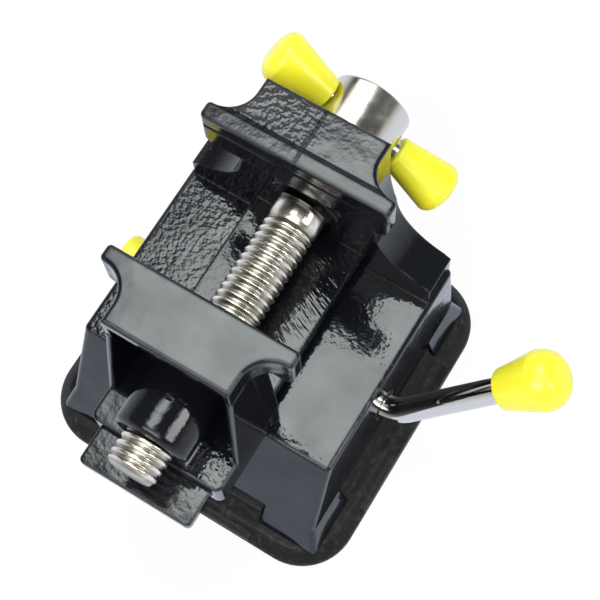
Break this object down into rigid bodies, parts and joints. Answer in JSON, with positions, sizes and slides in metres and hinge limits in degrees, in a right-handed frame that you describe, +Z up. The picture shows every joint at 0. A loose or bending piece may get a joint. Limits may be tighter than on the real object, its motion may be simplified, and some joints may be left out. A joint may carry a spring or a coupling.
{
  "type": "suction base vise",
  "caption": "Small bench vise whose hollow cast base is held down by a lever-worked suction pad; a screw with a cross bar draws the front jaw along a T-shaped rail.",
  "frame": {"origin": "middle of the suction pad's flat underside, on the table, below the lever shaft", "axes": "+X towards the lever's arm, +Y from the rail's free end towards the screw head, +Z up"},
  "size_m": [0.1743, 0.1591, 0.1341],
  "materials": {
    "black_enamel": "gloss",
    "pad_rubber": "matte",
    "nickel_plate": "polished",
    "bare_steel": "machined",
    "bronze": "machined",
    "yellow_vinyl": "satin"
  },
  "bodies": {
    "base": {"body_casting": "black_enamel", "suction_pad": "pad_rubber", "screw_bush": "bronze", "thrust_washer_front": "nickel_plate", "thrust_washer_rear": "nickel_plate", "shaft_bush_right": "bronze", "shaft_bush_left": "bronze"},
    "screw": {"lead_screw": "nickel_plate", "screw_head": "nickel_plate", "head_pin": "bare_steel"},
    "bar": {"tommy_bar": "nickel_plate", "bar_cap_left": "yellow_vinyl", "bar_cap_right": "yellow_vinyl"},
    "jaw": {"movable_jaw": "black_enamel"},
    "lever": {"suction_lever": "nickel_plate", "lever_cap": "yellow_vinyl", "shaft_end_cap": "yellow_vinyl", "shaft_clips": "bare_steel", "lift_cam": "bare_steel", "cam_set_screw": "bare_steel"},
    "stud": {"pull_yoke": "bare_steel", "pull_stud": "bare_steel", "pad_disc": "bare_steel", "stud_nut": "bare_steel"}
  },
  "joints": [
    {"name": "screw_turn", "type": "hinge", "parent": "base", "child": "screw", "pos_m": [0, 0, 0.0899], "axis": [0, -1, 0], "range_deg": [-480, 6120]},
    {"name": "jaw_travel", "type": "slide", "parent": "base", "child": "jaw", "axis": [0, 1, 0], "range_m": [-0.00401, 0.05101]},
    {"name": "bar_shift", "type": "slide", "parent": "screw", "child": "bar", "axis": [0.8572, 0, -0.515], "range_m": [-0.0014, 0]},
    {"name": "lever_turn", "type": "hinge", "parent": "base", "child": "lever", "pos_m": [0, 0, 0.034], "axis": [1, 0, 0], "range_deg": [0, 100]},
    {"name": "stud_lift", "type": "slide", "parent": "base", "child": "stud", "axis": [0, 0, 1], "range_m": [0, 0.00289]}
  ],
  "couplings": [
    {"joint": "jaw_travel", "follows": "screw_turn", "m_per_rad": 0.00047746},
    {"joint": "stud_lift", "follows": "lever_turn", "m_per_rad": 0.0016467}
  ]
}
